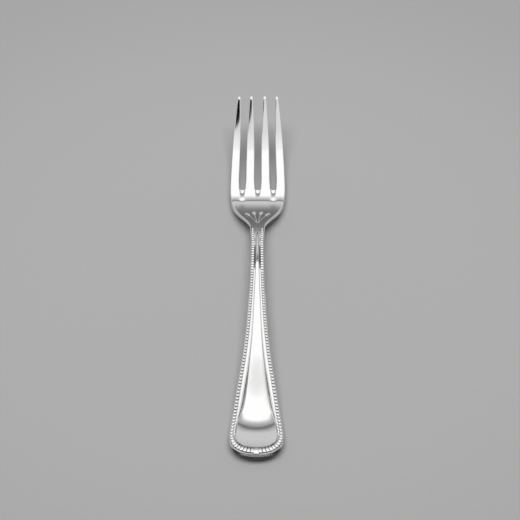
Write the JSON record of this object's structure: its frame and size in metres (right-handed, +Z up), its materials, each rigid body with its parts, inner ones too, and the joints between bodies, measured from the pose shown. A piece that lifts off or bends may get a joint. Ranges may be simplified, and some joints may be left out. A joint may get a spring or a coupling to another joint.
{
  "type": "table fork",
  "caption": "Small polished table fork for a child, with slim tines, an arched stem and a broad handle edged with a row of beads.",
  "frame": {"origin": "on the table under the middle of the fork's length and width", "axes": "+Y along the fork from the end of the handle to the tips, +Z up out of the table, +X to the right"},
  "size_m": [0.0164, 0.14, 0.0094],
  "materials": {
    "polished_silver": "mirror polish with fine handling scratches",
    "relief_silver": "bright struck relief, a little darker in the recesses"
  },
  "bodies": {
    "root": {"handle": "polished_silver", "stem": "polished_silver", "neck": "polished_silver", "palm": "polished_silver", "border": "polished_silver", "tine_outer_left": "polished_silver", "tine_inner_left": "polished_silver", "tine_inner_right": "polished_silver", "tine_outer_right": "polished_silver", "centre_panel": "polished_silver", "thread": "relief_silver", "bead_row_left": "relief_silver", "bead_row_right": "relief_silver", "bead_row_end": "relief_silver", "end_drop": "relief_silver", "ray_outer_left": "relief_silver", "ray_inner_left": "relief_silver", "ray_inner_right": "relief_silver", "ray_outer_right": "relief_silver"}
  },
  "joints": []
}
